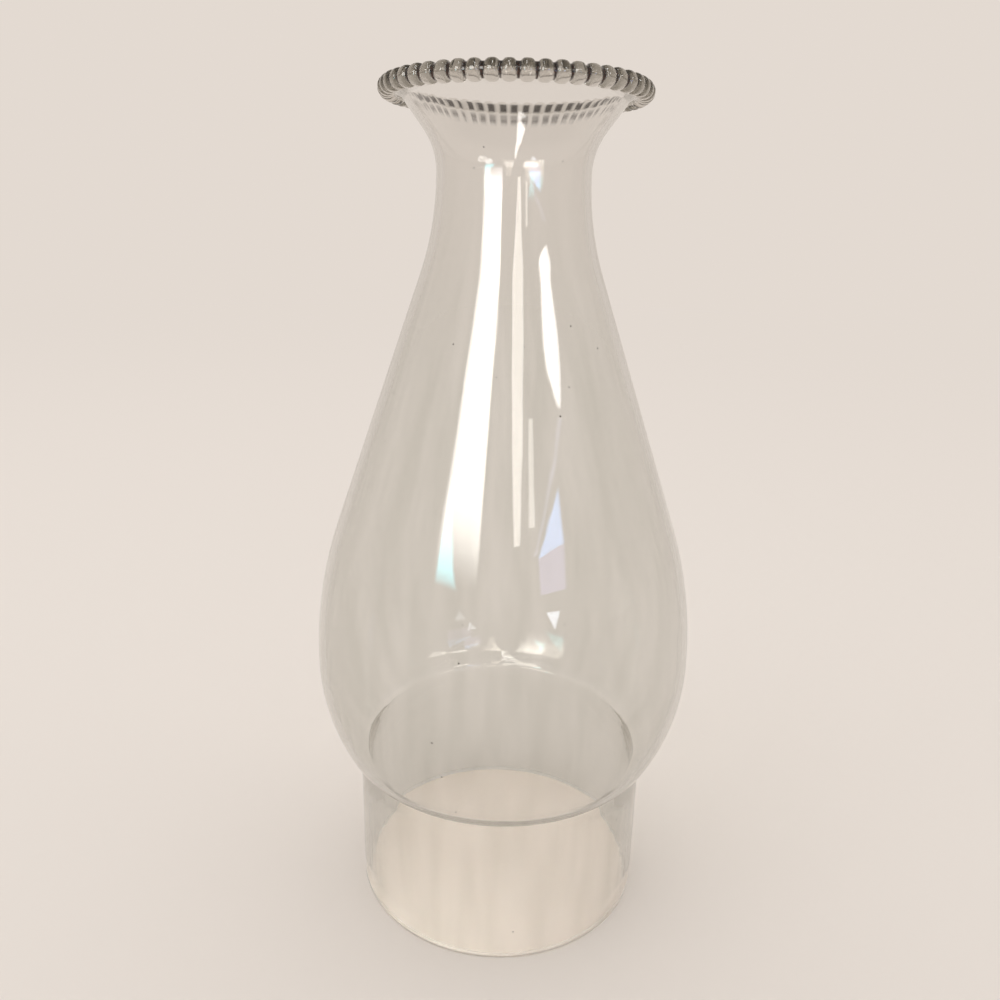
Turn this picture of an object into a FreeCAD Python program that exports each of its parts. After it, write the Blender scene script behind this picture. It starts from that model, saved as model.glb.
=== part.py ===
import FreeCAD, Part
import math
import os
import Sketcher
from FreeCAD import Vector

# A clear glass lamp chimney, blown in one piece, with a rim crimped into beads.
# Millimetres, +Z up. The origin is the centre of the cut lower edge, on the axis.

os.makedirs("parts", exist_ok=True)

# Driving sizes. Each stretch of the wall is measured from the one below it, and a radius
# or a round is of the outside of the glass.
sizes = {
    "wall": 1.6,                # thickness of the glass, square to its surface
    "collarRadius": 38.0,       # straight collar that stands in the burner
    "collarLength": 30.0,       # length of its straight part
    "creaseDepth": 0.6,         # how far the crease is drawn in from the collar
    "creaseRise": 8.3,          # from the straight part up to the crease
    "creaseRound": 0.8,         # small hollow round of the crease
    "springAngle": 27.7,        # degrees above level at which the bulb springs from it
    "undersideRound": 10.0,     # tight round of the bulb's underside
    "bulbSwell": 9.9,           # how far the bulb stands out beyond the collar
    "bulbRise": 29.0,           # from the crease up to the bulb's widest place
    "upperBulbRound": 106.0,    # side of the bulb above its widest place
    "taperLength": 63.9,        # straight slant from the bulb to the neck
    "neckRadius": 17.35,        # narrowest place of the chimney
    "neckRound": 65.3,          # slow hollow round below it
    "throatRound": 14.6,        # quick hollow round above it
    "flareAngle": 36.8,         # degrees that the mouth's cone opens from the axis
    "mouthLength": 10.7,        # along the cone, from the throat to beside the rim's centre
    "rimOffset": 1.45,          # how far that centre lies off the cone's outside
    "rimCore": 1.5,             # radius of the rolled rim at the bottom of its crimps
    "rimUnderRound": 2.5,       # hollow round from the cone to the rim's underside
    "rimInnerRound": 4.1,       # round from the cone's inside over to the rim's top
    "beadReach": 2.1,           # from the rim's centre line to the top of a bead
    "beadRound": 1.45,          # half of a bead's width
    "beadRoot": 0.75,           # ring inside the rim that the beads grow from
    "beadCount": 53,
    "taperMargin": 2.0,         # from the taper's ends to the levels that part its zone
    "rimMargin": 1.0,           # from the cone's head to the level that parts the rim
    "overrun": 5.0,             # how far the slabs that part the zones run past the glass
}

doc = FreeCAD.newDocument("lamp_chimney")
sheet = doc.addObject("Spreadsheet::Sheet", "Sizes")
for row, (alias, value) in enumerate(sizes.items(), start=1):
    sheet.set("A%d" % row, alias)
    sheet.set("B%d" % row, str(value))
    sheet.setAlias("B%d" % row, alias)
doc.recompute()


def size(alias):
    return float(getattr(sheet, alias))


def unit(angle):
    return Vector(math.cos(angle), math.sin(angle), 0)


def originFeature(body, role):
    return next(f for f in body.Origin.OriginFeatures if f.Role == role)


# The wall's section is a chain of touching rounds and straight stretches, drawn in the
# plane of radius and height. A round has a centre and a signed radius: plus where the
# glass bulges, minus where it is drawn in. Its point with the outward normal at an angle,
# at a depth in the glass, is centre + unit(angle) * (radius - depth), so the inside line
# has the same centres and normals as the outside line.

centres = {}
radii = {
    "crease": -size("creaseRound"),
    "underside": size("undersideRound"),
    "upperBulb": size("upperBulbRound"),
    "neck": -size("neckRound"),
    "throat": -size("throatRound"),
    "rimUnder": -size("rimUnderRound"),
    "rimCore": size("rimCore"),
    "rimInner": size("rimInnerRound"),
}


def pointOn(name, angle, depth=0.0):
    return centres[name] + unit(angle) * (radii[name] - depth)


def placeUpright(name, radius, height):
    """Centres a round so that the wall stands upright at this radius and height."""
    centres[name] = Vector(radius - radii[name], height, 0)


def sharedNormal(lower, upper):
    """Angle of the outward normal where two rounds touch."""
    across = (centres[upper] - centres[lower]) / (radii[lower] - radii[upper])
    return math.atan2(across.y, across.x)


def placePinch():
    """The slow round that leaves the collar upright and touches the crease."""
    rise = size("creaseRise")
    across = size("creaseRound") - size("creaseDepth")
    reach = across ** 2 + rise ** 2 - size("creaseRound") ** 2
    radii["pinch"] = reach / (2 * size("creaseDepth"))
    placeUpright("pinch", size("collarRadius"), size("collarLength"))


def placeLowerBulb():
    """The round that touches the underside and stands upright at the widest place."""
    widest = Vector(bulbRadius, bulbHeight, 0) - centres["underside"]
    spare = 2 * (widest.x - radii["underside"])
    radii["lowerBulb"] = (widest.Length ** 2 - radii["underside"] ** 2) / spare
    placeUpright("lowerBulb", bulbRadius, bulbHeight)


def taperLean():
    """Angle from upright of the taper, which fills the step from bulb to neck."""
    step = bulbRadius - size("neckRadius")
    bend = size("upperBulbRound") + size("neckRound")
    run = size("taperLength")
    return math.atan2(bend, run) + math.asin((step - bend) / math.hypot(bend, run))


def placeOnCone(name, offCone):
    """Centres a round that touches the mouth's cone and the rim's core, below the core."""
    aside = offCone - size("rimOffset")
    offCore = radii[name] - radii["rimCore"]
    below = math.sqrt(offCore ** 2 - aside ** 2)
    centres[name] = centres["rimCore"] + unit(flare) * aside - coneway * below


creaseRadius = size("collarRadius") - size("creaseDepth")
creaseHeight = size("collarLength") + size("creaseRise")
bulbRadius = size("collarRadius") + size("bulbSwell")
bulbHeight = creaseHeight + size("bulbRise")
placePinch()
placeUpright("crease", creaseRadius, creaseHeight)
spring = math.radians(90 + size("springAngle"))
springReach = size("creaseRound") + size("undersideRound")
centres["underside"] = centres["crease"] + unit(spring) * springReach
placeLowerBulb()
placeUpright("upperBulb", bulbRadius, bulbHeight)

taper = taperLean()
taperRun = unit(taper + math.pi / 2) * size("taperLength")
taperHead = pointOn("upperBulb", taper) + taperRun
centres["neck"] = taperHead - unit(taper) * radii["neck"]
neckHeight = centres["neck"].y
placeUpright("throat", size("neckRadius"), neckHeight)

flare = -math.radians(size("flareAngle"))
coneway = unit(flare + math.pi / 2)
coneFoot = pointOn("throat", flare)
rimFoot = coneFoot + coneway * size("mouthLength")
centres["rimCore"] = rimFoot + unit(flare) * size("rimOffset")
placeOnCone("rimUnder", size("rimUnderRound"))
placeOnCone("rimInner", size("rimInnerRound") - size("wall"))

# The outward normal at the start and end of each round, on the way up the outside.
upright = 0.0
creaseFoot = sharedNormal("pinch", "crease")
creaseHead = sharedNormal("crease", "underside")
bulbFoot = sharedNormal("underside", "lowerBulb")
coreFoot = sharedNormal("rimUnder", "rimCore")
coreHead = sharedNormal("rimCore", "rimInner")
wallRounds = {
    "pinch": (upright, creaseFoot),
    "crease": (creaseFoot, creaseHead),
    "underside": (creaseHead, bulbFoot),
    "lowerBulb": (bulbFoot, upright),
    "upperBulb": (upright, taper),
    "neck": (taper, upright),
    "throat": (upright, flare),
    "rimUnder": (flare, coreFoot),
    "rimCore": (coreFoot, coreHead),
    "rimInner": (coreHead, flare + math.pi),
}


# A drawn edge is kept as its index in the sketch and its two ends, in drawing order.

def drawLine(sketch, start, end):
    index = sketch.addGeometry(Part.LineSegment(start, end), False)
    return (index, 1, 2)


def drawArc(sketch, centre, radius, fromAngle, toAngle):
    circle = Part.Circle(centre, Vector(0, 0, 1), abs(radius))
    turn = 0.0 if radius > 0 else math.pi
    low = min(fromAngle, toAngle) + turn
    high = max(fromAngle, toAngle) + turn
    index = sketch.addGeometry(Part.ArcOfCircle(circle, low, high), False)
    forward = toAngle > fromAngle
    return (index, 1, 2) if forward else (index, 2, 1)


def drawRound(sketch, name, depth=0.0, downward=False):
    fromAngle, toAngle = wallRounds[name]
    if downward:
        fromAngle, toAngle = toAngle, fromAngle
    return drawArc(sketch, centres[name], radii[name] - depth, fromAngle, toAngle)


def constrain(sketch, kind, *arguments):
    return sketch.addConstraint(Sketcher.Constraint(kind, *arguments))


def dimension(sketch, name, kind, formula, *arguments):
    """A named dimension that follows the sheet."""
    index = constrain(sketch, kind, *arguments)
    sketch.renameConstraint(index, name)
    sketch.setExpression("Constraints." + name, formula)


def readLevel(sketch, name, point, height):
    """A named dimension that reads a point's height off the sketch."""
    index = constrain(sketch, "DistanceY", -1, 1, *point, height)
    sketch.setDriving(index, False)
    sketch.renameConstraint(index, name)


def joinInChain(sketch, edges):
    for (lower, _, lowerEnd), (upper, upperStart, _) in zip(edges, edges[1:]):
        constrain(sketch, "Tangent", lower, lowerEnd, upper, upperStart)


def drawHelper(sketch, start, end):
    """A construction line."""
    return sketch.addGeometry(Part.LineSegment(start, end), True)


def markLevel(sketch, name, edge, end, marginAlias, place):
    """A construction point on a straight stretch, whose height parts two zones."""
    point = sketch.addGeometry(Part.Point(place), True)
    constrain(sketch, "PointOnObject", point, 1, edge)
    dimension(sketch, name + "Margin", "Distance", "Sizes." + marginAlias,
              edge, end, point, 1, size(marginAlias))
    readLevel(sketch, name, (point, 1), place.y)


def drawWall(sketch):
    wall = size("wall")
    collar = size("collarRadius")
    collarLength = size("collarLength")
    inset = Vector(wall, 0, 0)
    collarFoot = Vector(collar, 0, 0)
    collarTop = Vector(collar, collarLength, 0)

    outer = {"collar": drawLine(sketch, collarFoot, collarTop)}
    for name in ("pinch", "crease", "underside", "lowerBulb", "upperBulb"):
        outer[name] = drawRound(sketch, name)
    outer["taper"] = drawLine(sketch, pointOn("upperBulb", taper), pointOn("neck", taper))
    for name in ("neck", "throat"):
        outer[name] = drawRound(sketch, name)
    outer["cone"] = drawLine(sketch, pointOn("throat", flare), pointOn("rimUnder", flare))
    for name in ("rimUnder", "rimCore"):
        outer[name] = drawRound(sketch, name)

    inner = {"rimInner": drawRound(sketch, "rimInner")}
    coneTop = pointOn("rimInner", flare + math.pi)
    inner["cone"] = drawLine(sketch, coneTop, pointOn("throat", flare, wall))
    for name in ("throat", "neck"):
        inner[name] = drawRound(sketch, name, wall, downward=True)
    taperTop = pointOn("neck", taper, wall)
    inner["taper"] = drawLine(sketch, taperTop, pointOn("upperBulb", taper, wall))
    for name in ("upperBulb", "lowerBulb", "underside", "crease", "pinch"):
        inner[name] = drawRound(sketch, name, wall, downward=True)
    inner["collar"] = drawLine(sketch, collarTop - inset, collarFoot - inset)
    cutEdge = drawLine(sketch, collarFoot - inset, collarFoot)

    joinInChain(sketch, list(outer.values()) + list(inner.values()))
    constrain(sketch, "Coincident", inner["collar"][0], 2, cutEdge[0], 1)
    constrain(sketch, "Coincident", cutEdge[0], 2, outer["collar"][0], 1)

    # The outside line
    first = outer["collar"][0]
    constrain(sketch, "PointOnObject", first, 1, -1)
    constrain(sketch, "Vertical", first)
    dimension(sketch, "collarRadius", "DistanceX", "Sizes.collarRadius", -1, 1, first, 1, collar)
    dimension(sketch, "collarLength", "DistanceY", "Sizes.collarLength",
              first, 1, first, 2, collarLength)
    for name in ("crease", "underside", "upperBulb", "neck", "throat", "rimUnder", "rimCore"):
        alias = name if name == "rimCore" else name + "Round"
        dimension(sketch, alias, "Radius", "Sizes." + alias, outer[name][0], abs(radii[name]))

    crease = outer["crease"][0]
    dimension(sketch, "creaseCentreRadius", "DistanceX",
              "Sizes.collarRadius - Sizes.creaseDepth + Sizes.creaseRound",
              -1, 1, crease, 3, centres["crease"].x)
    dimension(sketch, "creaseHeight", "DistanceY", "Sizes.collarLength + Sizes.creaseRise",
              -1, 1, crease, 3, creaseHeight)
    centreLine = drawHelper(sketch, centres["crease"], centres["underside"])
    constrain(sketch, "Coincident", centreLine, 1, crease, 3)
    constrain(sketch, "Coincident", centreLine, 2, outer["underside"][0], 3)
    dimension(sketch, "springAngle", "Angle", "(90 + Sizes.springAngle) * 1 deg",
              centreLine, spring)

    lowerBulb, _, widest = outer["lowerBulb"]
    dimension(sketch, "bulbRadius", "DistanceX", "Sizes.collarRadius + Sizes.bulbSwell",
              -1, 1, lowerBulb, widest, bulbRadius)
    dimension(sketch, "bulbHeight", "DistanceY",
              "Sizes.collarLength + Sizes.creaseRise + Sizes.bulbRise",
              -1, 1, lowerBulb, widest, bulbHeight)
    constrain(sketch, "Horizontal", lowerBulb, 3, lowerBulb, widest)

    taperEdge = outer["taper"][0]
    dimension(sketch, "taperLength", "Distance", "Sizes.taperLength",
              taperEdge, 1, taperEdge, 2, size("taperLength"))
    margin = taperRun * (size("taperMargin") / size("taperLength"))
    markLevel(sketch, "upperBulbTop", taperEdge, 1, "taperMargin", taperHead - taperRun + margin)
    markLevel(sketch, "shoulderTop", taperEdge, 2, "taperMargin", taperHead - margin)

    neck, _, narrowest = outer["neck"]
    dimension(sketch, "neckRadius", "DistanceX", "Sizes.neckRadius",
              -1, 1, neck, narrowest, size("neckRadius"))
    constrain(sketch, "Horizontal", neck, 3, neck, narrowest)
    readLevel(sketch, "neckHeight", (neck, narrowest), neckHeight)

    cone = outer["cone"][0]
    core = outer["rimCore"][0]
    dimension(sketch, "flareAngle", "Angle", "(90 - Sizes.flareAngle) * 1 deg",
              cone, flare + math.pi / 2)
    offset = drawHelper(sketch, rimFoot, centres["rimCore"])
    constrain(sketch, "Coincident", offset, 2, core, 3)
    constrain(sketch, "PointOnObject", offset, 1, cone)
    constrain(sketch, "Perpendicular", offset, cone)
    dimension(sketch, "mouthLength", "Distance", "Sizes.mouthLength",
              cone, 1, offset, 1, size("mouthLength"))
    dimension(sketch, "rimOffset", "Distance", "Sizes.rimOffset",
              offset, 1, offset, 2, size("rimOffset"))
    coneHead = pointOn("rimUnder", flare)
    markLevel(sketch, "mouthTop", cone, 2, "rimMargin", coneHead - coneway * size("rimMargin"))
    readLevel(sketch, "rimHeight", (core, 3), centres["rimCore"].y)
    reach = constrain(sketch, "DistanceX", -1, 1, core, 3, centres["rimCore"].x)
    sketch.setDriving(reach, False)
    sketch.renameConstraint(reach, "rimRadius")

    # The inside line, one wall thickness in
    constrain(sketch, "Horizontal", cutEdge[0])
    constrain(sketch, "Vertical", inner["collar"][0])
    dimension(sketch, "wall", "DistanceX", "Sizes.wall", cutEdge[0], 1, cutEdge[0], 2, wall)
    for name in ("pinch", "crease", "underside", "lowerBulb", "upperBulb", "neck", "throat"):
        constrain(sketch, "Coincident", inner[name][0], 3, outer[name][0], 3)
    constrain(sketch, "Parallel", inner["taper"][0], outer["taper"][0])
    constrain(sketch, "Parallel", inner["cone"][0], outer["cone"][0])
    dimension(sketch, "rimInnerRound", "Radius", "Sizes.rimInnerRound",
              inner["rimInner"][0], radii["rimInner"])


def addSketch(body, name, plane):
    sketch = body.newObject("Sketcher::SketchObject", name)
    sketch.AttachmentSupport = [(originFeature(body, plane), "")]
    sketch.MapMode = "FlatFace"
    return sketch


def addRevolution(body, name, sketch, axis):
    turned = body.newObject("PartDesign::Revolution", name)
    turned.Profile = sketch
    turned.ReferenceAxis = axis
    turned.Angle = 360
    return turned


def buildWall():
    """The whole glass wall with its rolled rim, before the beads."""
    body = doc.addObject("PartDesign::Body", "Wall")
    sketch = addSketch(body, "WallSection", "XZ_Plane")
    drawWall(sketch)
    addRevolution(body, "WallTurned", sketch, (sketch, ["V_Axis"]))
    doc.recompute()
    return body


def drawBead(sketch):
    """Half of a bead: a flat disc's section with a round top, on the rim's centre line."""
    rim = centres["rimCore"].x
    half = size("beadRound")
    lead = size("beadReach") - half
    low = Vector(rim, -half, 0)
    high = Vector(rim, half, 0)
    across = Vector(lead, 0, 0)
    turn = math.pi / 2
    edges = [drawLine(sketch, high, low),
             drawLine(sketch, low, low + across),
             drawArc(sketch, Vector(rim + lead, 0, 0), half, -turn, turn),
             drawLine(sketch, high + across, high)]
    root, lowSide, top, highSide = [edge[0] for edge in edges]
    constrain(sketch, "Coincident", root, 2, lowSide, 1)
    constrain(sketch, "Coincident", highSide, 2, root, 1)
    joinInChain(sketch, edges[1:])
    constrain(sketch, "Vertical", root)
    constrain(sketch, "Horizontal", lowSide)
    constrain(sketch, "Horizontal", highSide)
    constrain(sketch, "PointOnObject", top, 3, -1)
    dimension(sketch, "rimRadius", "DistanceX", "WallSection.Constraints.rimRadius",
              -1, 1, root, 1, rim)
    dimension(sketch, "beadLead", "DistanceX", "Sizes.beadReach - Sizes.beadRound",
              lowSide, 1, lowSide, 2, lead)
    dimension(sketch, "beadRound", "Radius", "Sizes.beadRound", top, half)


def buildBeads():
    """Round discs that stand across the rim, on a thin ring inside it."""
    body = doc.addObject("PartDesign::Body", "Beads")
    ringSketch = addSketch(body, "RootSection", "XZ_Plane")
    centre = centres["rimCore"]
    circle = Part.Circle(centre, Vector(0, 0, 1), size("beadRoot"))
    ring = ringSketch.addGeometry(circle, False)
    dimension(ringSketch, "beadRoot", "Radius", "Sizes.beadRoot", ring, size("beadRoot"))
    dimension(ringSketch, "rimRadius", "DistanceX", "WallSection.Constraints.rimRadius",
              -1, 1, ring, 3, centre.x)
    dimension(ringSketch, "rimHeight", "DistanceY", "WallSection.Constraints.rimHeight",
              -1, 1, ring, 3, centre.y)
    addRevolution(body, "RootTurned", ringSketch, (ringSketch, ["V_Axis"]))

    beadSketch = addSketch(body, "BeadSection", "XY_Plane")
    beadSketch.setExpression("AttachmentOffset.Base.z", "WallSection.Constraints.rimHeight")
    drawBead(beadSketch)
    doc.recompute()
    bead = addRevolution(body, "BeadTurned", beadSketch, (beadSketch, ["Edge1"]))
    doc.recompute()

    pattern = body.newObject("PartDesign::PolarPattern", "BeadRow")
    pattern.Originals = [bead]
    pattern.Axis = (originFeature(body, "Z_Axis"), [""])
    pattern.Angle = 360
    pattern.setExpression("Occurrences", "Sizes.beadCount")
    body.Tip = pattern
    doc.recompute()
    return body


# The wall is parted at level planes into the zones that a glassmaker names. Each level is
# a dimension of the wall's sketch, and each zone runs from the level below it.
zoneTops = {
    "fitter_collar": "creaseHeight",
    "lower_bulb": "bulbHeight",
    "upper_bulb": "upperBulbTop",
    "shoulder": "shoulderTop",
    "neck": "neckHeight",
    "flared_mouth": "mouthTop",
}


def buildZone(node, wall, low, height):
    """The part of the wall that lies in a slab."""
    slab = doc.addObject("Part::Cylinder", node + "_slab")
    slab.setExpression("Radius", "Sizes.collarRadius + Sizes.bulbSwell + Sizes.overrun")
    slab.setExpression("Height", height)
    if low:
        slab.setExpression("Placement.Base.z", low)
    zone = doc.addObject("Part::Common", node + "_wall")
    zone.Base = wall
    zone.Tool = slab
    return zone


def buildZones(wall):
    zones = {}
    low = ""
    for node, level in zoneTops.items():
        top = "WallSection.Constraints." + level
        height = "%s - %s" % (top, low) if low else top
        zones[node] = buildZone(node, wall, low, height)
        low = top
    # The last slab reaches as far above the rim's centre as below it.
    height = "2 * (WallSection.Constraints.rimHeight - %s)" % low
    zones["beaded_rim"] = buildZone("beaded_rim", wall, low, height)
    return zones


def buildRim(wallZone, beads):
    """The top zone, with the beads grown together with its rolled rim."""
    rim = doc.addObject("Part::Fuse", "beaded_rim_whole")
    rim.Base = wallZone
    rim.Tool = beads
    return rim


wall = buildWall()
beads = buildBeads()
nodes = buildZones(wall)
nodes["beaded_rim"] = buildRim(nodes["beaded_rim"], beads)
for node, piece in nodes.items():
    piece.Label = node
doc.recompute()

for item in doc.Objects:
    if "Invalid" in item.State or "Error" in item.State:
        raise RuntimeError("%s did not build: %s" % (item.Name, item.State))
    if item.isDerivedFrom("Sketcher::SketchObject") and not item.FullyConstrained:
        raise RuntimeError("%s is not fully constrained" % item.Name)

for node, piece in nodes.items():
    shape = piece.Shape
    if shape.isNull() or not shape.isValid() or len(shape.Solids) != 1:
        raise RuntimeError("%s is not one sound solid" % node)

total = 0.0
for node, piece in nodes.items():
    shape = piece.Shape
    box = shape.optimalBoundingBox()
    total += shape.Volume
    shape.exportStep("parts/%s.step" % node)
    print("%-14s %9.1f mm3  z %7.2f to %7.2f  radius %6.2f  faces %d"
          % (node, shape.Volume, box.ZMin, box.ZMax, box.XMax, len(shape.Faces)))
print("wall %.1f mm3, all zones %.1f mm3" % (wall.Shape.Volume, total))
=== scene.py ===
import bmesh
import bpy
import cmath
import math
from mathutils import Matrix, Vector


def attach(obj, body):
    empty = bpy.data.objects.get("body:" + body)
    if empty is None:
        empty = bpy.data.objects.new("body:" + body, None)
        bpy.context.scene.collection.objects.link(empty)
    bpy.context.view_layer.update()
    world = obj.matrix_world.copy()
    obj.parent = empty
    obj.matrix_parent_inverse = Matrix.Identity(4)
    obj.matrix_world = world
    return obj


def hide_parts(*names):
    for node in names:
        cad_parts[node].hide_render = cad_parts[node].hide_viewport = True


# A clear glass lamp chimney, blown in one piece, with a rim crimped into beads. Metres, +Z up.

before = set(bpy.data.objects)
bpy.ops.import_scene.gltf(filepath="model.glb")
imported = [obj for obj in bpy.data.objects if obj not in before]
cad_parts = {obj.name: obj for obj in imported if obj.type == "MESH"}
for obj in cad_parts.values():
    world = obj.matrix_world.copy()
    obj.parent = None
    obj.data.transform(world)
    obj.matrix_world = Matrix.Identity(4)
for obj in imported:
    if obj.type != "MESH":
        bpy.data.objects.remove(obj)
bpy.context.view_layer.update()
print("frame loaded:", ", ".join(sorted(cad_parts)))

mm = 0.001

# The wall's section in millimetres: the CAD's sizes, with a softer crease and cut edge
chimney = {
    "wall": 1.6,                # thickness of the glass
    "collarRadius": 38.0,       # straight collar that stands in the burner
    "collarLength": 30.0,
    "creaseDepth": 0.6,         # crease between collar and bulb
    "creaseRise": 8.3,
    "creaseRound": 1.8,         # 0.8 in the CAD
    "springAngle": 27.7,        # degrees above level at which the bulb springs from it
    "undersideRound": 9.0,      # 10 in the CAD
    "creaseInside": 5.0,        # round from the collar to the bulb on the inside
    "bulbSwell": 9.9,           # how far the bulb stands out beyond the collar
    "bulbRise": 29.0,
    "upperBulbRound": 106.0,
    "taperLength": 63.9,        # straight slant from the bulb to the neck
    "neckRadius": 17.35,
    "neckRound": 65.3,          # slow round below the narrowest place
    "throatRound": 14.6,        # quick round above it
    "flareAngle": 36.8,         # degrees that the mouth opens from the axis
    "mouthLength": 10.7,
    "rimOffset": 1.45,
    "rimCore": 1.5,             # rolled rim at the bottom of its crimps
    "rimUnderRound": 2.5,
    "rimInnerRound": 4.1,
    "cutEdgeRound": 0.3,        # the fire softens the corners of the cut edge
    "cutEdgeSteps": 4,
    "flatness": 0.02,           # how far a chord may lie off its arc
    "longestRow": 6.5,          # longest step along a straight stretch
    "rimTurn": 8.0,             # degrees of the rim's round from row to row
    "rimRunOut": 4.9,           # how far close rows run on below the rim, inside
    "rimRunStep": 0.72,
}


def unit(angle):
    return cmath.rect(1.0, angle)


def wallRounds(s):
    # A point is radius + height * 1j. A round has a centre, a radius (minus where the wall is
    # drawn in) and its outward normal's angles at both ends, going up the outside.
    centre = {}
    radius = {
        "crease": -s["creaseRound"],
        "underside": s["undersideRound"],
        "upperBulb": s["upperBulbRound"],
        "neck": -s["neckRound"],
        "throat": -s["throatRound"],
        "rimUnder": -s["rimUnderRound"],
        "rimCore": s["rimCore"],
        "rimInner": s["rimInnerRound"],
    }

    def standUpright(name, wide, high):
        centre[name] = complex(wide - radius[name], high)

    def onRound(name, angle):
        return centre[name] + unit(angle) * radius[name]

    def touch(lower, upper):
        return cmath.phase((centre[upper] - centre[lower]) / (radius[lower] - radius[upper]))

    creaseRadius = s["collarRadius"] - s["creaseDepth"]
    creaseHeight = s["collarLength"] + s["creaseRise"]
    bulbRadius = s["collarRadius"] + s["bulbSwell"]
    bulbHeight = creaseHeight + s["bulbRise"]

    across = s["creaseRound"] - s["creaseDepth"]
    reach = across ** 2 + s["creaseRise"] ** 2 - s["creaseRound"] ** 2
    radius["pinch"] = reach / (2 * s["creaseDepth"])
    standUpright("pinch", s["collarRadius"], s["collarLength"])
    standUpright("crease", creaseRadius, creaseHeight)
    spring = math.radians(90 + s["springAngle"])
    centre["underside"] = centre["crease"] + unit(spring) * (s["creaseRound"] + s["undersideRound"])
    widest = complex(bulbRadius, bulbHeight) - centre["underside"]
    spare = 2 * (widest.real - radius["underside"])
    radius["lowerBulb"] = (abs(widest) ** 2 - radius["underside"] ** 2) / spare
    standUpright("lowerBulb", bulbRadius, bulbHeight)
    standUpright("upperBulb", bulbRadius, bulbHeight)

    bend = s["upperBulbRound"] + s["neckRound"]
    run = s["taperLength"]
    step = bulbRadius - s["neckRadius"]
    taper = math.atan2(bend, run) + math.asin((step - bend) / math.hypot(bend, run))
    taperHead = onRound("upperBulb", taper) + unit(taper + math.pi / 2) * run
    centre["neck"] = taperHead - unit(taper) * radius["neck"]
    standUpright("throat", s["neckRadius"], centre["neck"].imag)

    flare = -math.radians(s["flareAngle"])
    upCone = unit(flare + math.pi / 2)
    rimFoot = onRound("throat", flare) + upCone * s["mouthLength"]
    centre["rimCore"] = rimFoot + unit(flare) * s["rimOffset"]
    offCones = {"rimUnder": s["rimUnderRound"], "rimInner": s["rimInnerRound"] - s["wall"]}
    for name, offCone in offCones.items():
        aside = offCone - s["rimOffset"]
        below = math.sqrt((radius[name] - radius["rimCore"]) ** 2 - aside ** 2)
        centre[name] = centre["rimCore"] + unit(flare) * aside - upCone * below

    creaseFoot = touch("pinch", "crease")
    creaseHead = touch("crease", "underside")
    bulbFoot = touch("underside", "lowerBulb")
    coreFoot = touch("rimUnder", "rimCore")
    coreHead = touch("rimCore", "rimInner")
    ends = {
        "pinch": (0.0, creaseFoot),
        "crease": (creaseFoot, creaseHead),
        "underside": (creaseHead, bulbFoot),
        "lowerBulb": (bulbFoot, 0.0),
        "upperBulb": (0.0, taper),
        "neck": (taper, 0.0),
        "throat": (0.0, flare),
        "rimUnder": (flare, coreFoot),
        "rimCore": (coreFoot, coreHead),
        "rimInner": (coreHead, flare + math.pi),
    }
    return centre, radius, ends


def wallSection(s):
    # The closed section as rows (point, 1 on the crimped rim), up the outside first
    centre, radius, ends = wallRounds(s)
    rows = []

    def sweep(middle, bent, start, end, turn=None):
        widestTurn = turn or 2 * math.acos(1 - s["flatness"] / abs(bent))
        count = math.ceil(abs(end - start) / widestTurn)
        for i in range(1, count + 1):
            point = middle + unit(start + (end - start) * i / count) * bent
            rows.append((point, 1.0 if turn else 0.0))

    def arc(name, depth=0.0, down=False, turn=None):
        start, end = ends[name][::-1] if down else ends[name]
        sweep(centre[name], radius[name] - depth, start, end, turn)

    def lineTo(point, longest, rim=0.0):
        start = rows[-1][0]
        count = math.ceil(abs(point - start) / longest)
        for i in range(1, count + 1):
            rows.append((start + (point - start) * i / count, rim))

    def corner(fromPoint, middle, toward):
        # a quarter round on the cut edge
        for i in range(s["cutEdgeSteps"] + 1):
            angle = math.pi / 2 * i / s["cutEdgeSteps"]
            lift = (fromPoint - middle) * math.cos(angle) + (toward - middle) * math.sin(angle)
            rows.append((middle + lift, 0.0))

    wall = s["wall"]
    soft = s["cutEdgeRound"]
    outside = s["collarRadius"]
    inside = outside - wall
    rimTurn = math.radians(s["rimTurn"])
    longest = s["longestRow"]

    corner(complex(outside - soft, 0), complex(outside - soft, soft), complex(outside, soft))
    lineTo(complex(outside, s["collarLength"]), longest)
    for name in ("pinch", "crease", "underside", "lowerBulb", "upperBulb"):
        arc(name)
    lineTo(centre["neck"] + unit(ends["neck"][0]) * radius["neck"], longest)
    arc("neck")
    arc("throat")
    lineTo(centre["rimUnder"] + unit(ends["rimUnder"][0]) * radius["rimUnder"], longest)
    rows[-1] = (rows[-1][0], 1.0)       # the rim starts on this row
    for name in ("rimUnder", "rimCore", "rimInner"):
        arc(name, turn=rimTurn)
    coneFoot = centre["throat"] + unit(ends["throat"][1]) * (radius["throat"] - wall)
    downCone = (coneFoot - rows[-1][0]) / abs(coneFoot - rows[-1][0])
    lineTo(rows[-1][0] + downCone * s["rimRunOut"], s["rimRunStep"], 1.0)
    lineTo(coneFoot, longest)
    arc("throat", wall, down=True)
    arc("neck", wall, down=True)
    lineTo(centre["upperBulb"] + unit(ends["upperBulb"][1]) * (radius["upperBulb"] - wall), longest)
    for name in ("upperBulb", "lowerBulb"):
        arc(name, wall, down=True)

    # on the inside one round runs from the bulb's underside into the collar
    spring = centre["underside"]
    bent = radius["underside"] - wall
    turned = s["creaseInside"]
    wide = inside + turned - spring.real
    middle = complex(inside + turned, spring.imag - math.sqrt((bent + turned) ** 2 - wide ** 2))
    meet = cmath.phase(middle - spring)
    sweep(spring, bent, ends["underside"][1], meet)
    sweep(middle, turned, meet + math.pi, math.pi)
    lineTo(complex(inside, soft), longest)
    rows.pop()
    corner(complex(inside, soft), complex(inside + soft, soft), complex(inside + soft, 0))
    return rows, centre["rimCore"]


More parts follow.
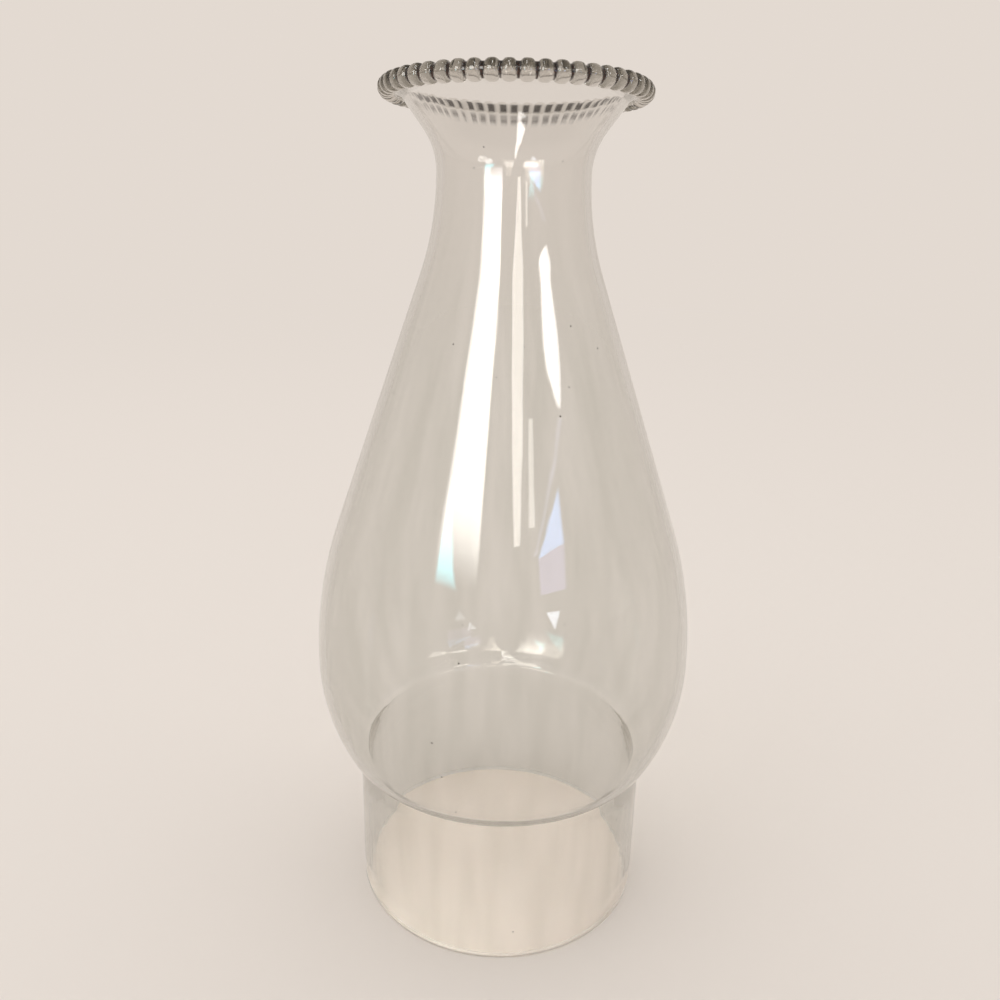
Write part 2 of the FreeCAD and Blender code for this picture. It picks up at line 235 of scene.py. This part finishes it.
def sectionMesh(rows):
    mesh = bpy.data.meshes.new("chimneySection")
    mesh.from_pydata([(p.real * mm, 0, p.imag * mm) for p, rim in rows], [], [])
    onRim = mesh.attributes.new("onRim", "FLOAT", "POINT")
    onRim.data.foreach_set("value", [rim for p, rim in rows])
    heights = [p.imag for p, rim in rows]
    top = heights.index(max(heights))
    inside = mesh.attributes.new("inside", "FLOAT", "POINT")
    inside.data.foreach_set("value", [1.0 if i >= top else 0.0 for i in range(len(rows))])
    return mesh


# Short ways to add a node, a sum, a smooth step from 0 to 1 and a stored attribute

def put(tree, kind, inputs=None, **settings):
    node = tree.nodes.new(kind)
    for name, value in settings.items():
        setattr(node, name, value)
    for name, value in (inputs or {}).items():
        if isinstance(value, bpy.types.NodeSocket):
            tree.links.new(value, node.inputs[name])
        else:
            node.inputs[name].default_value = value
    return node


def calc(tree, operation, *values):
    return put(tree, "ShaderNodeMath", dict(enumerate(values)), operation=operation).outputs[0]


def softStep(tree, value, start, end):
    ends = {"Value": value, "From Min": start, "From Max": end}
    return put(tree, "ShaderNodeMapRange", ends, interpolation_type="SMOOTHSTEP").outputs[0]


def store(tree, geometry, name, value):
    given = {"Geometry": geometry, "Name": name, "Value": value}
    return put(tree, "GeometryNodeStoreNamedAttribute", given, data_type="FLOAT").outputs[0]


# Geometry Nodes: the section is turned about the axis, and its rim is pushed out into beads

beads = {
    "count": 53,
    "stepsPerBead": 16,         # columns of the rim for each bead; the wall has half as many
    "reach": 2.1,               # from the rim's centre line to the top of a bead
    "halfWidth": 1.42,
    "squareness": 2.8,          # 2 is a round bead, more is a squarer one
    "blend": 0.2,               # soft valley where a bead meets the rim
    "crimpFrom": 0.30,          # share of the pitch off a bead's middle where the painted shade of a crimp starts
    "crimpTo": 0.38,
    "crimpTaper": 0.06,         # by how much both grow for each mm below the rim's centre line
    "spotFrom": 0.44,           # the same for the two spots of painted shade inside the mouth at each bead
    "spotTo": 0.20,
    "spotLine": 1.35,           # how far below the rim's centre line the lower spots start
    "spotFoot": 3.95,           # and how far below it they end
    "lowerSpot": 0.88,          # strength of the lower spots
    "lineFrom": 0.05,           # light line between the two, in core radii off its middle
    "lineTo": 0.4,
    "spotTopFrom": 1.0,         # the upper spots fade out here, in core radii above the centre line
    "spotTopTo": 0.7,
    "uneven": 0.03,             # share by which the pressed beads differ
    "seed": 7,
}
mergeDistance = 1e-6


def crimpTree():
    tree = bpy.data.node_groups.new("turnAndCrimp", "GeometryNodeTree")
    face = tree.interface
    face.new_socket("Section", in_out="INPUT", socket_type="NodeSocketGeometry")
    for name in ("Bead Count", "Steps per Bead", "Seed"):
        face.new_socket(name, in_out="INPUT", socket_type="NodeSocketInt")
    for name in ("Rim Radius", "Rim Height", "Rim Core", "Bead Reach", "Bead Half Width",
                 "Squareness", "Bead Blend", "Crimp From", "Crimp To", "Crimp Taper",
                 "Spot From", "Spot To", "Spot Line", "Spot Foot", "Lower Spot",
                 "Line From", "Line To", "Spot Top From", "Spot Top To", "Uneven"):
        face.new_socket(name, in_out="INPUT", socket_type="NodeSocketFloat")
    face.new_socket("Glass", in_out="INPUT", socket_type="NodeSocketMaterial")
    face.new_socket("Chimney", in_out="OUTPUT", socket_type="NodeSocketGeometry")
    given = tree.nodes.new("NodeGroupInput").outputs
    section = given["Section"]

    # one column of points for each turn step, one row for each point of the section
    size = put(tree, "GeometryNodeAttributeDomainSize", {"Geometry": section})
    rowCount = size.outputs["Point Count"]
    columnCount = calc(tree, "MULTIPLY", given["Bead Count"], given["Steps per Bead"])
    closedRows = calc(tree, "ADD", rowCount, 1.0)
    closedColumns = calc(tree, "ADD", columnCount, 1.0)
    sheet = put(tree, "GeometryNodeMeshGrid",
                {"Vertices X": closedColumns, "Vertices Y": closedRows})
    index = put(tree, "GeometryNodeInputIndex").outputs[0]
    column = calc(tree, "FLOOR", calc(tree, "DIVIDE", calc(tree, "ADD", index, 0.5), closedRows))
    rowAgain = calc(tree, "SUBTRACT", index, calc(tree, "MULTIPLY", column, closedRows))
    row = calc(tree, "MODULO", rowAgain, rowCount)

    place = put(tree, "GeometryNodeInputPosition").outputs[0]
    sampled = put(tree, "GeometryNodeSampleIndex",
                  {"Geometry": section, "Value": place, "Index": row}, data_type="FLOAT_VECTOR")

    def rowMark(name):
        mark = put(tree, "GeometryNodeInputNamedAttribute", {"Name": name}, data_type="FLOAT")
        return put(tree, "GeometryNodeSampleIndex",
                   {"Geometry": section, "Value": mark.outputs["Attribute"], "Index": row},
                   data_type="FLOAT").outputs["Value"]

    onRim = rowMark("onRim")
    inside = rowMark("inside")
    point = put(tree, "ShaderNodeSeparateXYZ", {"Vector": sampled.outputs["Value"]}).outputs

    # off the rim, every other column falls on its neighbour and is merged into it
    odd = calc(tree, "MODULO", column, 2.0)
    plain = calc(tree, "SUBTRACT", 1.0, onRim)
    turnStep = calc(tree, "SUBTRACT", column, calc(tree, "MULTIPLY", odd, plain))
    beadPlace = calc(tree, "DIVIDE", turnStep, given["Steps per Bead"])
    beadRound = calc(tree, "ROUND", beadPlace)
    beadNumber = calc(tree, "MODULO", beadRound, given["Bead Count"])
    turn = calc(tree, "MULTIPLY", calc(tree, "DIVIDE", turnStep, columnCount), math.tau)

    def pressed(offset):
        # a number from -1 to 1, times Uneven, that is each bead's own
        seed = calc(tree, "ADD", given["Seed"], offset)
        dice = put(tree, "FunctionNodeRandomValue",
                   {"ID": beadNumber, "Seed": seed}, data_type="FLOAT")
        swing = calc(tree, "MULTIPLY_ADD", dice.outputs[1], 2.0, -1.0)
        return calc(tree, "MULTIPLY", swing, given["Uneven"])

    # how far the point lies from its bead's middle: off in bead pitches, sideways as a length
    off = calc(tree, "SUBTRACT", calc(tree, "SUBTRACT", beadPlace, beadRound), pressed(2.0))
    aside = calc(tree, "DIVIDE", calc(tree, "MULTIPLY", off, math.tau), given["Bead Count"])
    across = calc(tree, "SUBTRACT", point["X"], given["Rim Radius"])
    above = calc(tree, "SUBTRACT", point["Z"], given["Rim Height"])
    away = calc(tree, "SQRT", calc(tree, "ADD", calc(tree, "MULTIPLY", across, across),
                                   calc(tree, "MULTIPLY", above, above)))
    topRadius = calc(tree, "MULTIPLY_ADD", calc(tree, "DIVIDE", across, away), given["Bead Reach"],
                     given["Rim Radius"])
    sideways = calc(tree, "MULTIPLY", topRadius, calc(tree, "SINE", aside))

    reach = calc(tree, "MULTIPLY", given["Bead Reach"],
                 calc(tree, "SUBTRACT", 1.0, calc(tree, "ABSOLUTE", pressed(0.0))))
    half = calc(tree, "MULTIPLY", given["Bead Half Width"], calc(tree, "ADD", 1.0, pressed(1.0)))
    share = calc(tree, "DIVIDE", calc(tree, "ABSOLUTE", sideways), half)
    spare = calc(tree, "SUBTRACT", 1.0, calc(tree, "POWER", share, given["Squareness"]))
    rise = calc(tree, "POWER", calc(tree, "MAXIMUM", spare, 0.0),
                calc(tree, "DIVIDE", 1.0, given["Squareness"]))
    beadTop = calc(tree, "MULTIPLY_ADD", calc(tree, "SUBTRACT", rise, 1.0), half, reach)
    inBead = calc(tree, "GREATER_THAN", spare, 0.0)
    swollen = calc(tree, "SMOOTH_MAX", away, calc(tree, "MULTIPLY", beadTop, inBead),
                   given["Bead Blend"])
    grown = calc(tree, "DIVIDE", swollen, away)
    factor = calc(tree, "MULTIPLY_ADD", calc(tree, "SUBTRACT", grown, 1.0), onRim, 1.0)
    wide = calc(tree, "MULTIPLY_ADD", across, factor, given["Rim Radius"])
    high = calc(tree, "MULTIPLY_ADD", above, factor, given["Rim Height"])

    turned = put(tree, "ShaderNodeCombineXYZ", {
        "X": calc(tree, "MULTIPLY", wide, calc(tree, "COSINE", turn)),
        "Y": calc(tree, "MULTIPLY", wide, calc(tree, "SINE", turn)),
        "Z": high,
    })
    shaped = put(tree, "GeometryNodeSetPosition",
                 {"Geometry": sheet.outputs["Mesh"], "Position": turned.outputs[0]})

    # how deep in a crimp, and how far on the rim, for the glass's colour: painted shade in the
    # crimps, and the rim's tint with its painted shade
    below = calc(tree, "MAXIMUM", calc(tree, "MULTIPLY", above, -1.0), 0.0)
    tapered = calc(tree, "SUBTRACT", calc(tree, "ABSOLUTE", off),
                   calc(tree, "MULTIPLY", below, given["Crimp Taper"]))
    between = softStep(tree, tapered, given["Crimp From"], given["Crimp To"])
    near = softStep(tree, away, given["Bead Reach"], given["Rim Core"])
    nearRim = calc(tree, "MULTIPLY", near, onRim)

    # two spots of painted shade for each bead inside the mouth, for the dark the beads show through
    # the glass; the lower one fainter, a light line between
    core = given["Rim Core"]
    aboveLine = calc(tree, "DIVIDE", calc(tree, "ADD", above, given["Spot Line"]), core)
    coresAbove = calc(tree, "DIVIDE", above, core)
    paintedShadeSpot = calc(tree, "MULTIPLY", onRim, inside)
    for mask in (
        calc(tree, "MAXIMUM", calc(tree, "GREATER_THAN", aboveLine, 0.0), given["Lower Spot"]),
        softStep(tree, calc(tree, "ABSOLUTE", off), given["Spot From"], given["Spot To"]),
        softStep(tree, calc(tree, "ABSOLUTE", aboveLine), given["Line From"], given["Line To"]),
        softStep(tree, coresAbove, given["Spot Top From"], given["Spot Top To"]),
        softStep(tree, calc(tree, "ADD", above, given["Spot Foot"]), 0.0, core),
    ):
        paintedShadeSpot = calc(tree, "MULTIPLY", paintedShadeSpot, mask)

    marked = store(tree, shaped.outputs[0], "crimp", calc(tree, "MULTIPLY", between, nearRim))
    marked = store(tree, marked, "rim", nearRim)
    marked = store(tree, marked, "paintedShadeSpot", paintedShadeSpot)
    joined = put(tree, "GeometryNodeMergeByDistance",
                 {"Geometry": marked, "Distance": mergeDistance})
    smooth = put(tree, "GeometryNodeSetShadeSmooth", {"Geometry": joined.outputs[0]})
    real = put(tree, "GeometryNodeRealizeInstances", {"Geometry": smooth.outputs[0]})
    glazed = put(tree, "GeometryNodeSetMaterial",
                 {"Geometry": real.outputs[0], "Material": given["Glass"]})
    end = tree.nodes.new("NodeGroupOutput")
    tree.links.new(glazed.outputs[0], end.inputs["Chimney"])
    return tree


def setInputs(modifier, values):
    sockets = {item.name: item.identifier for item in modifier.node_group.interface.items_tree}
    for name, value in values.items():
        modifier[sockets[name]] = value


def plainMesh(source, name):
    # the evaluated object as a mesh of its own
    graph = bpy.context.evaluated_depsgraph_get()
    mesh = bpy.data.meshes.new_from_object(source.evaluated_get(graph))
    mesh.name = name
    bpy.data.objects.remove(source)
    piece = bpy.data.objects.new(name, mesh)
    bpy.context.scene.collection.objects.link(piece)
    return piece


def faceOutwards(mesh):
    shell = bmesh.new()
    shell.from_mesh(mesh)
    bmesh.ops.recalc_face_normals(shell, faces=shell.faces)
    if shell.calc_volume(signed=True) < 0:
        bmesh.ops.reverse_faces(shell, faces=shell.faces)
    openEdges = [edge for edge in shell.edges if len(edge.link_faces) != 2]
    print("glass: %.0f mm3, %d open edges" % (shell.calc_volume() / mm ** 3, len(openEdges)))
    shell.to_mesh(mesh)
    shell.free()


# Clear glass with a faint warm grey tint

glass = {
    "color": (1, 1, 0.99, 1),
    "bandColor": (0.945, 0.947, 0.93, 1),   # faint upright bands, as blown glass has
    "bandFrom": 0.4,
    "bandTo": 0.6,
    "rimTintAndShade": (0.84, 0.80, 0.76, 1),      # thick glass of the rolled rim, and painted shade for the darker surroundings seen through the beads
    "paintedCrimpShade": (0.003, 0.0004, 0.0001, 1),    # painted shade at the bottom of the crimps
    "paintedSpotShade": (0.008, 0.006, 0.005, 1),  # painted shade: the dark that the beads' insides show from within the mouth
    "mouthColor": (1, 0.99, 0.98, 1),       # thinner, clearer glass from these heights up
    "clearFrom": 0.14,
    "clearTo": 0.19,
    "specks": (0.02, 0.018, 0.015, 1),      # tiny cinders in the glass
    "speckSpacing": 0.0085,
    "speckSize": 0.0002,
    "roughness": 0.0,
    "ior": 1.5,
    "groundTo": 0.0009,                     # the ground cut edge reaches this height
    "groundRoughness": 0.4,
    "tint": (0.56, 0.55, 0.51, 1),
    "tintDensity": 130.0,
    "lampShare": (0.95, 0.945, 0.935, 1),   # what a lamp's light keeps on its way through
    "trappedAfter": 3.5,                    # surfaces after which light caught in the wall leaves
    "rimFoot": 0.1975,                      # above this height, one surface fewer
    "streakTurns": 5.0,                     # the noise behind the bands and the dents
    "streakRise": 4.0,
    "streakDetail": 2.0,
    "streakDepth": 0.007,
    "dentDistance": 0.01,
}


def blendColor(tree, factor, first, second):
    node = tree.nodes.new("ShaderNodeMix")
    node.data_type = "RGBA"
    # a mix node has one factor, and sockets 6 and 7 are its colours
    for place, value in ((0, factor), (6, first), (7, second)):
        if isinstance(value, bpy.types.NodeSocket):
            tree.links.new(value, node.inputs[place])
        else:
            node.inputs[place].default_value = value
    return node.outputs[2]


def readMark(tree, name):
    return put(tree, "ShaderNodeAttribute", attribute_name=name).outputs["Fac"]


def clearGlass(g):
    mat = bpy.data.materials.new("clearGlass")
    mat.use_nodes = True
    tree = mat.node_tree
    tree.nodes.clear()
    place = put(tree, "ShaderNodeTexCoord").outputs["Object"]
    flat = put(tree, "ShaderNodeVectorMath", {0: place, 1: (1, 1, 0)}, operation="MULTIPLY")
    around = put(tree, "ShaderNodeVectorMath", {0: flat.outputs[0]}, operation="NORMALIZE")
    lifted = put(tree, "ShaderNodeVectorMath",
                 {0: place, 1: (0, 0, g["streakRise"])}, operation="MULTIPLY")
    ring = put(tree, "ShaderNodeVectorMath",
               {0: around.outputs[0], 1: lifted.outputs[0]}, operation="ADD")
    streaks = put(tree, "ShaderNodeTexNoise", {
        "Vector": ring.outputs[0],
        "Scale": g["streakTurns"],
        "Detail": g["streakDetail"],
    })
    dents = put(tree, "ShaderNodeBump", {
        "Height": streaks.outputs[0],
        "Strength": g["streakDepth"],
        "Distance": g["dentDistance"],
    })
    cells = put(tree, "ShaderNodeTexVoronoi", {"Vector": place, "Scale": 1 / g["speckSpacing"]})
    speck = calc(tree, "LESS_THAN", cells.outputs["Distance"], g["speckSize"] / g["speckSpacing"])
    band = put(tree, "ShaderNodeMapRange",
               {"Value": streaks.outputs[0], "From Min": g["bandFrom"], "From Max": g["bandTo"]})
    color = blendColor(tree, band.outputs[0], g["color"], g["bandColor"])
    height = put(tree, "ShaderNodeSeparateXYZ", {"Vector": place}).outputs["Z"]
    thin = put(tree, "ShaderNodeMapRange",
               {"Value": height, "From Min": g["clearFrom"], "From Max": g["clearTo"]})
    color = blendColor(tree, thin.outputs[0], color, g["mouthColor"])
    color = blendColor(tree, readMark(tree, "rim"), color, g["rimTintAndShade"])

    # the painted shade spots and the painted shade in the crimps darken only light on its way into
    # the glass
    leaving = put(tree, "ShaderNodeNewGeometry").outputs["Backfacing"]
    entering = calc(tree, "SUBTRACT", 1.0, leaving)
    for mark, dark in (("paintedShadeSpot", g["paintedSpotShade"]), ("crimp", g["paintedCrimpShade"])):
        share = calc(tree, "MULTIPLY", readMark(tree, mark), entering)
        color = blendColor(tree, share, color, dark)
    color = blendColor(tree, speck, color, g["specks"])
    ground = calc(tree, "LESS_THAN", height, g["groundTo"])
    body = put(tree, "ShaderNodeBsdfPrincipled", {
        "Base Color": color,
        "Roughness": calc(tree, "MULTIPLY_ADD", ground, g["groundRoughness"], g["roughness"]),
        "IOR": g["ior"],
        "Transmission Weight": 1.0,
        "Normal": dents.outputs[0],
    })

    # lamp light and light caught in the wall go straight on
    lamp = put(tree, "ShaderNodeBsdfTransparent", {"Color": g["lampShare"]})
    path = put(tree, "ShaderNodeLightPath").outputs
    inRim = calc(tree, "GREATER_THAN", height, g["rimFoot"])
    surfaces = calc(tree, "ADD", path["Ray Depth"], inRim)
    trapped = calc(tree, "GREATER_THAN", surfaces, g["trappedAfter"])
    straight = calc(tree, "MAXIMUM", path["Is Shadow Ray"], trapped)
    mixed = put(tree, "ShaderNodeMixShader", {0: straight, 1: body.outputs[0], 2: lamp.outputs[0]})
    depth = put(tree, "ShaderNodeVolumeAbsorption",
                {"Color": g["tint"], "Density": g["tintDensity"]})
    put(tree, "ShaderNodeOutputMaterial",
        {"Surface": mixed.outputs[0], "Volume": depth.outputs[0]})
    return mat


def buildChimney():
    rows, rimCentre = wallSection(chimney)
    source = bpy.data.objects.new("section", sectionMesh(rows))
    bpy.context.scene.collection.objects.link(source)
    crimp = source.modifiers.new("turnAndCrimp", "NODES")
    crimp.node_group = crimpTree()
    setInputs(crimp, {
        "Bead Count": beads["count"],
        "Steps per Bead": beads["stepsPerBead"],
        "Seed": beads["seed"],
        "Rim Radius": rimCentre.real * mm,
        "Rim Height": rimCentre.imag * mm,
        "Rim Core": chimney["rimCore"] * mm,
        "Bead Reach": beads["reach"] * mm,
        "Bead Half Width": beads["halfWidth"] * mm,
        "Squareness": beads["squareness"],
        "Bead Blend": beads["blend"] * mm,
        "Crimp From": beads["crimpFrom"],
        "Crimp To": beads["crimpTo"],
        "Crimp Taper": beads["crimpTaper"] / mm,
        "Spot From": beads["spotFrom"],
        "Spot To": beads["spotTo"],
        "Spot Line": beads["spotLine"] * mm,
        "Spot Foot": beads["spotFoot"] * mm,
        "Lower Spot": beads["lowerSpot"],
        "Line From": beads["lineFrom"],
        "Line To": beads["lineTo"],
        "Spot Top From": beads["spotTopFrom"],
        "Spot Top To": beads["spotTopTo"],
        "Uneven": beads["uneven"],
        "Glass": clearGlass(glass),
    })
    piece = plainMesh(source, "chimneyGlass")
    faceOutwards(piece.data)
    piece.data.shade_smooth()
    triangles = sum(len(face.vertices) - 2 for face in piece.data.polygons)
    print("chimney: %d rows, %d triangles" % (len(rows), triangles))
    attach(piece, "root")
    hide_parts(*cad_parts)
    return piece


buildChimney()
print("chimney built")


# Studio: a pale floor that runs out into a pale surround, window-like soft lamps, the camera

studio = {
    "pale": (0.77, 0.70, 0.64, 1),
    "floorRadius": 3.0,
    "floorSides": 96,
    "fadeFrom": 0.35,           # the floor runs out into the surround between these radii
    "fadeTo": 1.8,
    "skyLight": 0.98,
    "darkTop": (0.42, 0.385, 0.35, 1),  # what the glass mirrors overhead
    "topFrom": 40,              # degrees above level
    "topTo": 65,
}


def buildSurround(s):
    world = bpy.data.worlds.new("surround")
    bpy.context.scene.world = world
    world.use_nodes = True
    tree = world.node_tree
    tree.nodes.clear()
    path = put(tree, "ShaderNodeLightPath").outputs
    seen = calc(tree, "MAXIMUM", path["Is Camera Ray"],
                calc(tree, "MAXIMUM", path["Is Glossy Ray"], path["Is Transmission Ray"]))
    toward = put(tree, "ShaderNodeTexCoord").outputs["Generated"]
    lift = put(tree, "ShaderNodeSeparateXYZ", {"Vector": toward}).outputs["Z"]
    start, end = (math.sin(math.radians(s[name])) for name in ("topFrom", "topTo"))
    overhead = softStep(tree, lift, start, end)
    mirrored = calc(tree, "MULTIPLY", overhead, calc(tree, "SUBTRACT", 1.0, path["Is Camera Ray"]))
    around = blendColor(tree, mirrored, s["pale"], s["darkTop"])
    shown = put(tree, "ShaderNodeBackground", {"Color": around, "Strength": 1.0})
    light = put(tree, "ShaderNodeBackground", {"Color": (1, 1, 1, 1), "Strength": s["skyLight"]})
    mixed = put(tree, "ShaderNodeMixShader", {0: seen, 1: light.outputs[0], 2: shown.outputs[0]})
    put(tree, "ShaderNodeOutputWorld", {"Surface": mixed.outputs[0]})


def buildFloor(s):
    disc = bmesh.new()
    bmesh.ops.create_circle(disc, cap_ends=True, segments=s["floorSides"], radius=s["floorRadius"])
    mesh = bpy.data.meshes.new("floor")
    disc.to_mesh(mesh)
    disc.free()
    floor = bpy.data.objects.new("floor", mesh)
    bpy.context.scene.collection.objects.link(floor)
    mat = bpy.data.materials.new("paleFloor")
    mat.use_nodes = True
    tree = mat.node_tree
    tree.nodes.clear()
    place = put(tree, "ShaderNodeTexCoord").outputs["Object"]
    away = put(tree, "ShaderNodeVectorMath", {0: place}, operation="LENGTH").outputs["Value"]
    fade = softStep(tree, away, s["fadeFrom"], s["fadeTo"])
    matt = put(tree, "ShaderNodeBsdfDiffuse", {"Color": s["pale"]})
    glow = put(tree, "ShaderNodeEmission", {"Color": s["pale"], "Strength": 1.0})
    mixed = put(tree, "ShaderNodeMixShader", {0: fade, 1: matt.outputs[0], 2: glow.outputs[0]})
    put(tree, "ShaderNodeOutputMaterial", {"Surface": mixed.outputs[0]})
    mesh.materials.append(mat)


# What the glass mirrors. A card is a bright panel that hangs upright and faces the axis: degrees
# round the axis from the camera's side (plus is to its right), metres away and high. Its sides
# lean from foot to head, or bow out between two points. Its light can fade in above the foot.
cards = {
    "window": {"away": 0.38, "high": (0.17, 0.41), "foot": (-44, -15.1), "head": (-44, -13.6),
               "fade": 0.3, "color": (1, 0.98, 0.94), "bright": 9.0},
    "windowFoot": {"away": 0.38, "high": (0.158, 0.238), "foot": (-41.5, -26), "head": (-41.8, -40.8),
                   "fade": 0.3, "color": (0.25, 0.88, 1), "bright": 7.0},
    "slot": {"away": 0.38, "high": (0.215, 0.41), "foot": (4.5, 10), "head": (-0.1, 16.6),
             "color": (1, 0.95, 0.88), "bright": 5.0},
    "slit": {"away": 0.38, "high": (0.225, 0.300), "foot": (16, 19.5), "head": (17, 21),
             "color": (1, 0.97, 0.9), "bright": 3.4},
    "bowl": {"away": 3.0, "high": (1.38, 2.17), "foot": (39.5, 56.5), "head": (34.5, 51.5),
             "pointed": True, "color": (1, 1, 1), "bright": 9.0},
    "blueTip": {"away": 0.38, "high": (0.203, 0.242), "foot": (20, 38.6), "head": (37, 38),
                "color": (0.32, 0.55, 1), "bright": 6.0},
    "blueFoot": {"away": 0.38, "high": (0.163, 0.203), "foot": (20.5, 37), "head": (20, 38.6),
                 "color": (0.55, 0.5, 1), "bright": 2.0},
    "blueBand": {"away": 0.38, "high": (0.208, 0.285), "foot": (17, 21), "head": (43, 48),
                 "color": (0.6, 0.65, 1), "bright": 1.7},
    "heart": {"away": 0.38, "high": (0.097, 0.130), "foot": (28, 29), "head": (23.5, 32),
              "color": (0.8, 0.88, 1), "bright": 6.0},
}
cardEdge = 0.08                 # share of a card over which its sides are soft


def shadeCard(light, card, sideOf):
    # the light's strength over the card, across from 0 to 1 to the right and up from 0 to 1
    light.use_nodes = True
    tree = light.node_tree
    tree.nodes.clear()
    surface = put(tree, "ShaderNodeNewGeometry").outputs["Parametric"]
    across, up, _ = put(tree, "ShaderNodeSeparateXYZ", {"Vector": surface}).outputs
    foot = [sideOf(angle) for angle in card["foot"]]
    head = [sideOf(angle) for angle in card["head"]]
    left, right = (calc(tree, "MULTIPLY_ADD", up, h - f, f) for f, h in zip(foot, head))
    if card.get("pointed"):
        # the sides bow out from the midline and meet at the foot and the head
        fromMiddle = calc(tree, "MULTIPLY_ADD", up, 2.0, -1.0)
        bow = calc(tree, "MULTIPLY", calc(tree, "MULTIPLY", fromMiddle, fromMiddle),
                   calc(tree, "MULTIPLY", calc(tree, "SUBTRACT", right, left), 0.5))
        left = calc(tree, "ADD", left, bow)
        right = calc(tree, "SUBTRACT", right, bow)
    shown = calc(tree, "MULTIPLY",
                 softStep(tree, across, left, calc(tree, "ADD", left, cardEdge)),
                 softStep(tree, across, right, calc(tree, "SUBTRACT", right, cardEdge)))
    if card.get("fade"):
        shown = calc(tree, "MULTIPLY", shown, softStep(tree, up, 0.0, card["fade"]))
    glow = put(tree, "ShaderNodeEmission", {"Strength": shown})
    put(tree, "ShaderNodeOutputLight", {"Surface": glow.outputs[0]})


def buildCard(name, card, front):
    sides = card["foot"] + card["head"]
    middle = (min(sides) + max(sides)) / 2
    low, high = card["high"]
    away = card["away"]

    def offMiddle(angle):
        return away * math.tan(math.radians(angle - middle))

    light = bpy.data.lights.new(name, "AREA")
    light.shape = "RECTANGLE"
    light.size = 2 * offMiddle(max(sides))
    light.size_y = high - low
    light.energy = card["bright"] * math.pi * light.size * light.size_y
    light.color = card["color"]
    shadeCard(light, card, lambda angle: 0.5 + offMiddle(angle) / light.size)
    panel = bpy.data.objects.new(name, light)
    bpy.context.scene.collection.objects.link(panel)
    turn = math.radians(middle + front)
    level = Vector((math.sin(turn), -math.cos(turn), 0)) * away
    panel.location = level + Vector((0, 0, (low + high) / 2))
    panel.rotation_euler = level.to_track_quat("Z", "Y").to_euler()
    panel.visible_camera = False
    panel.visible_diffuse = False


# Soft lamps that hang level or lean over the chimney
lamps = {
    "key": {"place": (-0.9, -0.7, 1.5), "size": (0.9, 0.9), "bright": 1.3, "mirrored": False},
    "overhead": {"place": (-0.05, -0.45, 0.80), "size": (0.06, 0.76), "bright": 8.0,
                 "mirrored": True},
}


def buildLamp(name, lamp):
    light = bpy.data.lights.new(name, "AREA")
    light.shape = "RECTANGLE"
    light.size, light.size_y = lamp["size"]
    light.energy = lamp["bright"] * math.pi * light.size * light.size_y
    place = Vector(lamp["place"])
    panel = bpy.data.objects.new(name, light)
    bpy.context.scene.collection.objects.link(panel)
    panel.location = place
    if not lamp["mirrored"]:
        panel.rotation_euler = place.to_track_quat("Z", "Y").to_euler()
    panel.visible_camera = False
    panel.visible_glossy = lamp["mirrored"]
    panel.visible_diffuse = not lamp["mirrored"]


# The camera stands where the photograph was taken: degrees round the axis, metres, radians and
# a lens on a sensor in mm
view = {
    "front": -2.4,              # a crimp of the rim comes just right of the middle
    "away": 0.2002,
    "height": 0.1726,
    "pitch": 0.3155,
    "yaw": -0.0077,
    "roll": 0.0219,
    "lens": 30.11,
    "sensor": 36,
    "clipStart": 0.01,
}


def buildCamera(v):
    cam = bpy.data.cameras.new("camera")
    cam.lens = v["lens"]
    cam.sensor_width = v["sensor"]
    cam.clip_start = v["clipStart"]
    camera = bpy.data.objects.new("camera", cam)
    bpy.context.scene.collection.objects.link(camera)
    turn = math.radians(v["front"])
    yaw = v["yaw"] - turn
    forward = Vector((math.sin(yaw) * math.cos(v["pitch"]),
                      math.cos(yaw) * math.cos(v["pitch"]),
                      -math.sin(v["pitch"])))
    right = Vector((math.cos(yaw), -math.sin(yaw), 0))
    up = right.cross(forward)
    across = right * math.cos(v["roll"]) + up * math.sin(v["roll"])
    upward = up * math.cos(v["roll"]) - right * math.sin(v["roll"])
    turned = Matrix((across, upward, -forward)).transposed()
    place = Vector((math.sin(turn) * v["away"], -math.cos(turn) * v["away"], v["height"]))
    camera.matrix_world = Matrix.Translation(place) @ turned.to_4x4()
    bpy.context.scene.camera = camera


buildSurround(studio)
buildFloor(studio)
for cardName, cardSizes in cards.items():
    buildCard(cardName, cardSizes, view["front"])
for lampName, lampSizes in lamps.items():
    buildLamp(lampName, lampSizes)
buildCamera(view)
bpy.context.scene.view_settings.view_transform = "Standard"
print("studio built")
